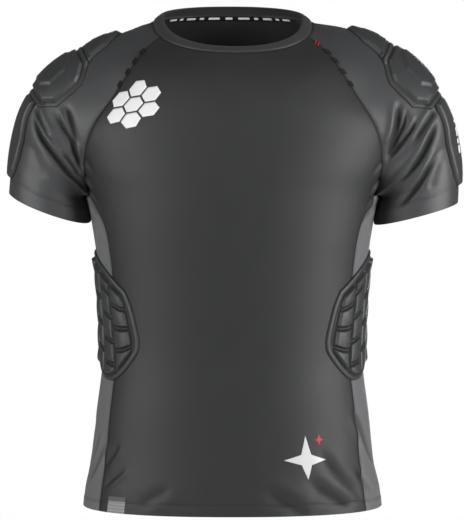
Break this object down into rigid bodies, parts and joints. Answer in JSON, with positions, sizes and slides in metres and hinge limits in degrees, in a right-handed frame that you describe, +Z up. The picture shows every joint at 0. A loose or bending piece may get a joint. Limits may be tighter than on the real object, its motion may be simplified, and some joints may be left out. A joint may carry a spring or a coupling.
{
  "type": "padded compression shirt",
  "caption": "Short-sleeved raglan compression shirt in its worn, hollow form, with stepped foam pads on the shoulders and block-patterned pads on the flanks.",
  "frame": {"origin": "midway between the two sides of the neck, on the line of the shoulders, where the wearer carries the shirt", "axes": "+Z up, -Y towards the front of the shirt, +X towards the wearer's left"},
  "size_m": [0.6365, 0.237, 0.7079],
  "materials": {
    "body_cloth": "dark grey stretch knit with a satin face",
    "sleeve_cloth": "dark grey stretch knit with a satin face",
    "side_cloth": "mid grey open stretch knit",
    "band_cloth": "dark grey doubled rib knit",
    "pad_cloth": "dark grey stretch cover pressed onto foam",
    "neck_tape": "black woven tape",
    "label": "grey woven label"
  },
  "bodies": {
    "root": {"front": "body_cloth", "back": "body_cloth", "side_panel_right": "side_cloth", "side_panel_left": "side_cloth", "sleeve_right": "sleeve_cloth", "sleeve_left": "sleeve_cloth", "neckband": "band_cloth", "neck_tape": "neck_tape", "hem_label": "label", "shoulder_pad_upper_right": "pad_cloth", "shoulder_pad_middle_right": "pad_cloth", "shoulder_pad_lower_right": "pad_cloth", "shoulder_pad_upper_left": "pad_cloth", "shoulder_pad_middle_left": "pad_cloth", "shoulder_pad_lower_left": "pad_cloth", "flank_pad_right": "pad_cloth", "flank_pad_left": "pad_cloth"}
  },
  "joints": []
}
